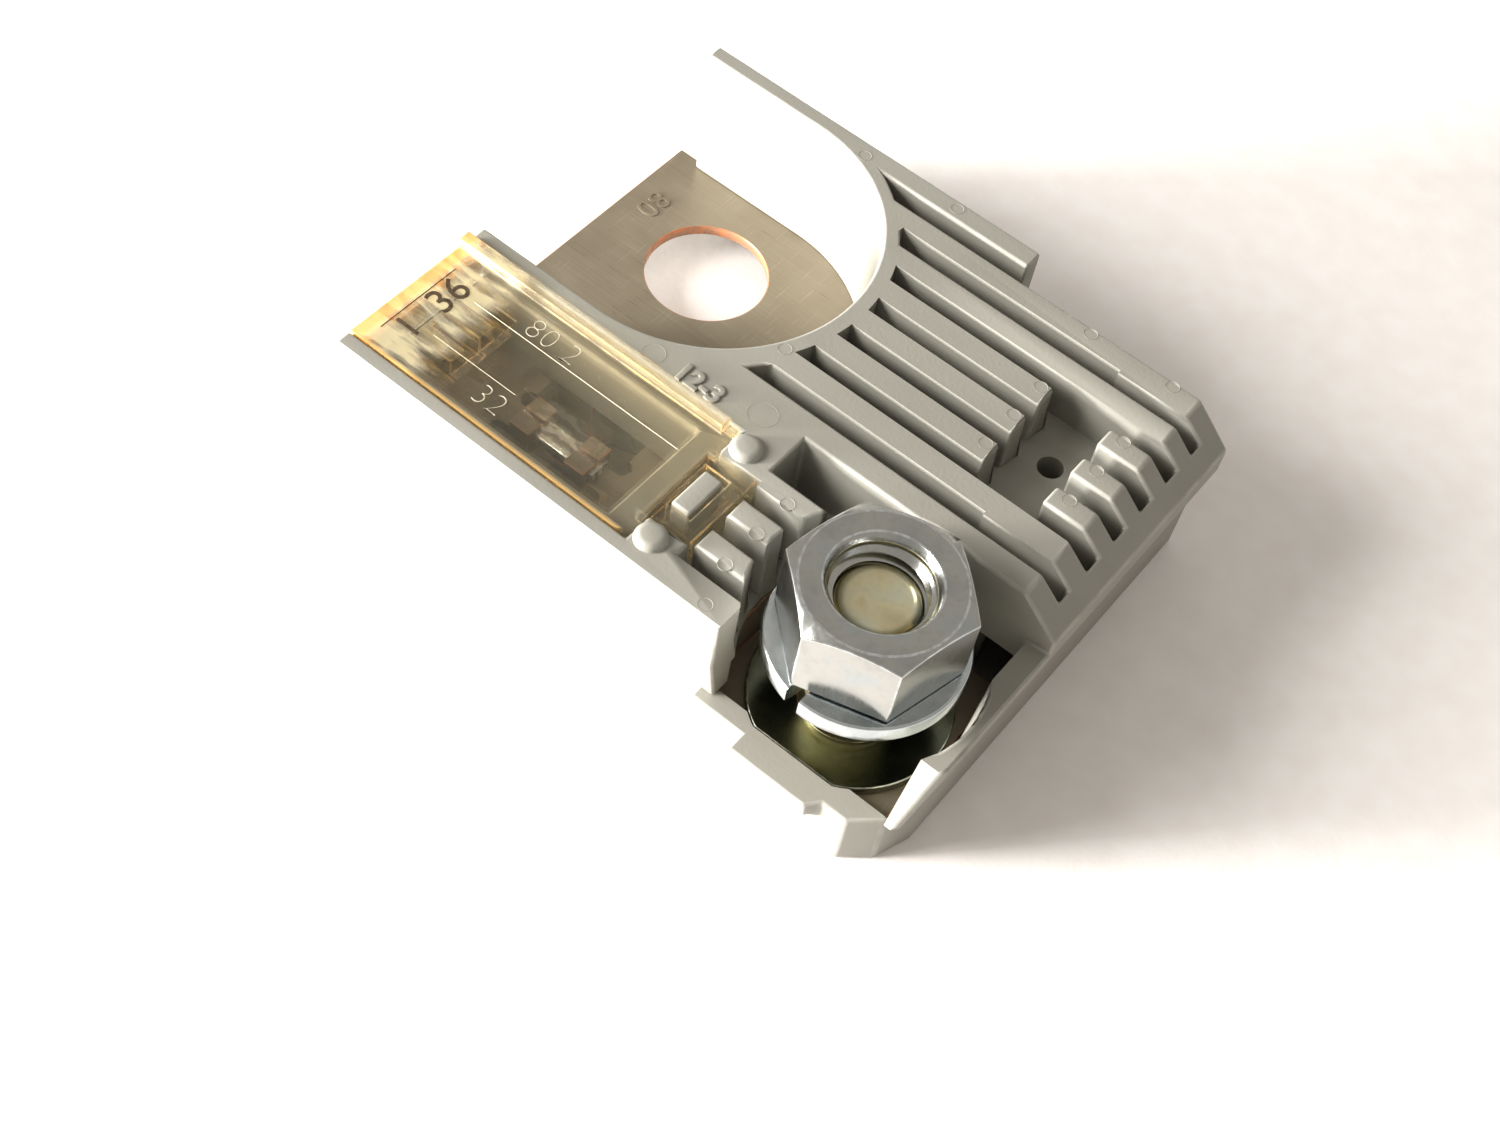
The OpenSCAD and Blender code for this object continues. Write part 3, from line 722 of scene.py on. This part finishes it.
def add_ridge(bm, start, end, width, rise):
    """A thin rounded ridge between two points on a level face."""
    run = end - start
    ring = bmesh.ops.create_circle(bm, cap_ends=True, segments=8, radius=1.0)["verts"]
    bmesh.ops.transform(bm, verts=ring, matrix=(
        Matrix.Translation(start) @ run.to_track_quat("X", "Z").to_matrix().to_4x4()
        @ Matrix.Diagonal((1, width / 2, rise, 1)) @ Matrix.Rotation(math.radians(90), 4, "Y")))
    far = bmesh.ops.extrude_face_region(bm, geom=faces_of(bm, ring))["geom"]
    bmesh.ops.translate(bm, verts=only(bmesh.types.BMVert, far), vec=run)
    print("ridge is", round(run.length / MM, 2), "mm long")


# %% Printed and raised marks
coat = 0.04 * MM
dark_ink = print_and_glint_coat("dark_ink", dark=(0.05, 0.035, 0.02), light=(0.11, 0.08, 0.05), rough=0.35)
bm = bmesh.new()
add_numerals(bm, "36", 1.9 * MM, coat, on_window(-4.75, -20.4, up=0.01), turn=90)
add_numerals(bm, "1", 1.7 * MM, coat, on_window(-4.75, -23.9, up=0.01), turn=90)
add_ridge(bm, on_window(-5.85, -25.0), on_window(-5.85, -18.6), width=0.07 * MM, rise=0.03 * MM)
finished("window_print", bm, "cover", dark_ink)

# Painted highlight: the raised figures and parting lines get a pale colour that stands for the light
# they catch.
painted_glint_coat = print_and_glint_coat("pale_marks_painted_glint", dark=(0.42, 0.39, 0.29), light=(0.66, 0.62, 0.50), rough=0.25)
fine_strokes = 0.034
bm = bmesh.new()
add_numerals(bm, "80 2", 1.5 * MM, coat, on_window(2.3, -18.75, up=0.01), thinner=fine_strokes)
add_numerals(bm, "32", 1.5 * MM, coat, on_window(2.6, -24.6, up=0.01), thinner=fine_strokes)
add_ridge(bm, on_window(-3.2, -19.75), on_window(12.9, -19.75), width=0.045 * MM, rise=0.03 * MM)
add_ridge(bm, on_window(-3.2, -23.3), on_window(3.4, -23.3), width=0.03 * MM, rise=0.02 * MM)
finished("window_relief", bm, "cover", painted_glint_coat)

# %% [markdown]
# ## Zinc finishes
# The hardware is zinc plated, and each part is passivated differently: the stud's coat is yellow,
# the flat washer's is dark olive with green and gold glints, the spring washer is bright and the
# nut a clear blue. The thin coat changes hue with its thickness, so slow clouds shift the colour.

# %% Zinc finishes
def zinc(name, first, second, third, smooth, rough, worn):
    """Plated steel: three hues in slow clouds, fine tool lines and brighter edges."""
    material, tree, shader, place = start_finish(name)
    hue = cloud(tree, place, 2.8 * MM, detail=3)
    fine = cloud(tree, place, 0.12 * MM, detail=3, stretch=(1, 1, 8))
    spots = cloud(tree, place, 0.5 * MM, detail=4)
    tone = colours(tree, hue, (0.32, first), (0.5, second), (0.68, third))
    dark = colours(tree, spots, (0.35, (0.55, 0.54, 0.52)), (0.5, (1.0, 1.0, 1.0)))
    tone = over(tree, 0.12, tone, dark, blend="MULTIPLY")
    edge = rounded_edge_patches(tree, spots)
    tree.links.new(over(tree, edge, tone, worn), shader.inputs["Base Color"])
    shader.inputs["Metallic"].default_value = 1.0
    gloss = combined(tree, spread(tree, hue, smooth, rough), spread(tree, fine, 0.0, 0.07), "ADD")
    tree.links.new(gloss, shader.inputs["Roughness"])
    relief(tree, shader, combined(tree, fine, spots, "ADD"), 0.006 * MM, strength=0.5)
    print(name, "has", len(tree.nodes), "nodes")
    return material


yellow_zinc = zinc("yellow_zinc", (0.60, 0.55, 0.36), (0.72, 0.66, 0.46), (0.64, 0.64, 0.52),
                   smooth=0.34, rough=0.46, worn=(0.82, 0.79, 0.62))
olive_zinc = zinc("olive_zinc", (0.16, 0.18, 0.145), (0.21, 0.22, 0.165), (0.29, 0.285, 0.20),
                  smooth=0.10, rough=0.20, worn=(0.55, 0.55, 0.50))
bright_zinc = zinc("bright_zinc", (0.52, 0.57, 0.59), (0.60, 0.64, 0.66), (0.66, 0.69, 0.71),
                   smooth=0.12, rough=0.20, worn=(0.80, 0.82, 0.83))
blue_zinc = zinc("blue_zinc", (0.45, 0.465, 0.455), (0.52, 0.52, 0.50), (0.48, 0.515, 0.52),
                 smooth=0.13, rough=0.20, worn=(0.72, 0.75, 0.77))

# %% [markdown]
# ## Thread
# A thread is a ridge that winds round, one pitch per turn. Its section is drawn once, a flattened
# hexagon with a flat side at the crest, and spun about the axis while it climbs. Its first and last
# turns are faded back to the foot, as a rolled or tapped thread runs out. The stud's ridge and the
# nut's are both closed shapes, and they stand half a pitch apart, so that one runs in the other's
# groove wherever the nut has climbed to.

# %% Thread
stud_low, stud_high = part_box("load_stud")
stud_at = Vector(((stud_low.x + stud_high.x) / 2, (stud_low.y + stud_high.y) / 2, 0))
pitch = 1.0 * MM
core_r = 2.50 * MM
crest_r = 2.96 * MM
stud_thread_low = 3.1 * MM
nut_thread_low = stud_thread_low + 7.5 * pitch


def wind_ridge(bm, foot, crest, low, turns, steps=40):
    """Spins a small section about the stud's axis as it climbs, and fades both its ends."""
    reach = abs(crest - foot) / math.cos(math.radians(30))
    half_width = 0.33 * pitch
    fade_run = 0.6 * pitch
    shape = bmesh.ops.create_circle(bm, cap_ends=True, segments=6, radius=1.0)["verts"]
    bmesh.ops.transform(bm, verts=shape, matrix=(
        Matrix.Translation(stud_at + Vector((foot, 0, low)))
        @ Matrix.Diagonal((reach, 1, half_width, 1))
        @ Matrix.Rotation(math.radians(90), 4, "X")))
    faces = faces_of(bm, shape)
    edges = list({e for f in faces for e in f.edges})
    before = set(bm.verts) - set(shape)
    bmesh.ops.spin(bm, geom=list(shape) + edges + faces, cent=stud_at, axis=(0, 0, 1),
                   dvec=(0, 0, pitch / steps), angle=math.radians(360 * turns),
                   steps=int(steps * turns))
    high = low + pitch * turns
    for v in bm.verts:
        if v in before:
            continue
        out = Vector((v.co.x, v.co.y, 0)) - stud_at
        fade = min(1.0, max(0.0, (v.co.z - low) / fade_run), max(0.0, (high - v.co.z) / fade_run))
        wanted = foot + (out.length - foot) * fade
        out = out.normalized() * wanted + stud_at
        v.co.x, v.co.y = out.x, out.y
    print("ridge climbs from", round(low / MM, 2), "to", round(high / MM, 2), "mm")


# %% [markdown]
# ## Stud
# The stud is a round core with a rounded end and a square head that sits in a well in the tray.
# Two small insets draw the shallow ring on its end. The thread is wound on the core.

# %% Threaded stud
shank_low = 1.0 * MM
end_round = 0.75 * MM
head_round = 0.3 * MM
head_h = 1.9 * MM
bm = bmesh.new()
bm.faces.layers.float.new("edge")
core = bmesh.ops.create_cone(bm, cap_ends=True, segments=64, radius1=core_r, radius2=core_r,
                             depth=stud_high.z - shank_low)["verts"]
bmesh.ops.translate(bm, verts=core,
                    vec=stud_at + Vector((0, 0, (stud_high.z + shank_low) / 2)))
rim = [e for e in bm.edges if all(abs(v.co.z - stud_high.z) < 0.01 * MM for v in e.verts)]
bevel_edges(bm, rim, end_round, segments=4)
end_face = max(bm.faces, key=lambda f: f.calc_center_median().z)
bmesh.ops.inset_region(bm, faces=[end_face], thickness=0.5 * MM, depth=-0.05 * MM)
bmesh.ops.inset_region(bm, faces=[end_face], thickness=0.7 * MM, depth=0.04 * MM)
wind_ridge(bm, foot=core_r, crest=crest_r, low=stud_thread_low, turns=10)
head = bmesh.ops.create_cube(bm, size=1.0)["verts"]
bmesh.ops.transform(bm, verts=head, matrix=(
    Matrix.Translation(stud_at + Vector((0, 0, stud_low.z + head_h / 2)))
    @ Matrix.Diagonal((stud_high.x - stud_low.x, stud_high.y - stud_low.y, head_h, 1))))
bevel_edges(bm, list({e for v in head for e in v.link_edges}), head_round, segments=3)
finished("threaded_stud", bm, "block", yellow_zinc, ["load_stud"])

# %% [markdown]
# ## Flat washer
# The flat washer has two straight sides, so that the ledge keeps it from turning. It is stamped,
# which leaves its rims a little rounded.

# %% Flat washer
bm = merged_copy("flat_washer")
print("flat washer rims rounded:", round_rims(bm, 0.10 * MM))
finished("clipped_washer", bm, "block", olive_zinc, ["flat_washer"])

# %% [markdown]
# ## Spring washer
# The spring washer is one turn of square wire cut through at a slant. A rounded square is spun
# round the stud's axis and climbs a little on the way, which sets its two ends at two heights.

# %% Spring washer
spring_low, spring_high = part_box("spring_washer")
wire_in = 3.08 * MM
wire_out = (spring_high.x - spring_low.x) / 2
wire_rise = 0.16 * MM
wire_room = 0.03 * MM
wire_h = spring_high.z - spring_low.z - wire_rise - wire_room
wire_steps = 96
wire_round = 0.20 * MM
split_at = math.radians(263)
split_half = math.radians(4.5)
bm = bmesh.new()
bm.faces.layers.float.new("edge")
wire = bmesh.ops.create_grid(bm, x_segments=1, y_segments=1, size=0.5)["verts"]
bmesh.ops.transform(bm, verts=wire, matrix=(
    Matrix.Translation(stud_at + Vector((0, 0, spring_low.z + wire_h / 2)))
    @ Matrix.Rotation(split_at + split_half, 4, "Z")
    @ Matrix.Translation(((wire_in + wire_out) / 2, 0, 0))
    @ Matrix.Rotation(math.radians(90), 4, "X")
    @ Matrix.Diagonal((wire_out - wire_in, wire_h, 1, 1))))
bmesh.ops.bevel(bm, geom=list(bm.verts), offset=wire_round, offset_type="OFFSET", segments=3,
                profile=0.5, affect="VERTICES", clamp_overlap=True, material=-1)
bmesh.ops.spin(bm, geom=everything(bm), cent=stud_at, axis=(0, 0, 1),
               dvec=(0, 0, wire_rise / wire_steps), angle=2 * (math.pi - split_half),
               steps=wire_steps)
print("spring washer rises", round((max(v.co.z for v in bm.verts) - spring_low.z) / MM, 2), "mm")
finished("split_washer", bm, "lock_washer", bright_zinc, ["spring_washer"])

# %% [markdown]
# ## Nut
# The nut is cut from six-sided bar: its corners are turned off in a cone, and its bore is
# countersunk and threaded to match the stud. A cone is cut here by many flat cuts that all lean the
# same way round the axis, which leaves the curved line that a lathe leaves on each flat.

# %% Nut
cone_cuts = 36
cone_r = 4.75 * MM
cone_lean = math.radians(30)
nut_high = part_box("hex_nut")[1]
bm = merged_copy("hex_nut")
for step in range(cone_cuts):
    around = math.radians(step * 360 / cone_cuts)
    outward = Vector((math.cos(around), math.sin(around), 0))
    cut = bmesh.ops.bisect_plane(
        bm, geom=everything(bm), dist=1e-7, clear_outer=True,
        plane_co=stud_at + outward * cone_r + Vector((0, 0, nut_high.z)),
        plane_no=outward * math.sin(cone_lean) + Vector((0, 0, math.cos(cone_lean))))
    rim = only(bmesh.types.BMEdge, cut["geom_cut"])
    if rim:
        bmesh.ops.edgeloop_fill(bm, edges=rim)
bmesh.ops.remove_doubles(bm, verts=bm.verts, dist=0.01 * MM)
print("open edges on the nut:", sum(not e.is_manifold for e in bm.edges))
print("nut rims rounded:", round_edges(bm, 0.08 * MM, turn=28))
wind_ridge(bm, foot=3.10 * MM, crest=2.62 * MM, low=nut_thread_low, turns=3.6)
finished("cone_cut_nut", bm, "nut", blue_zinc, ["hex_nut"], crease=30)
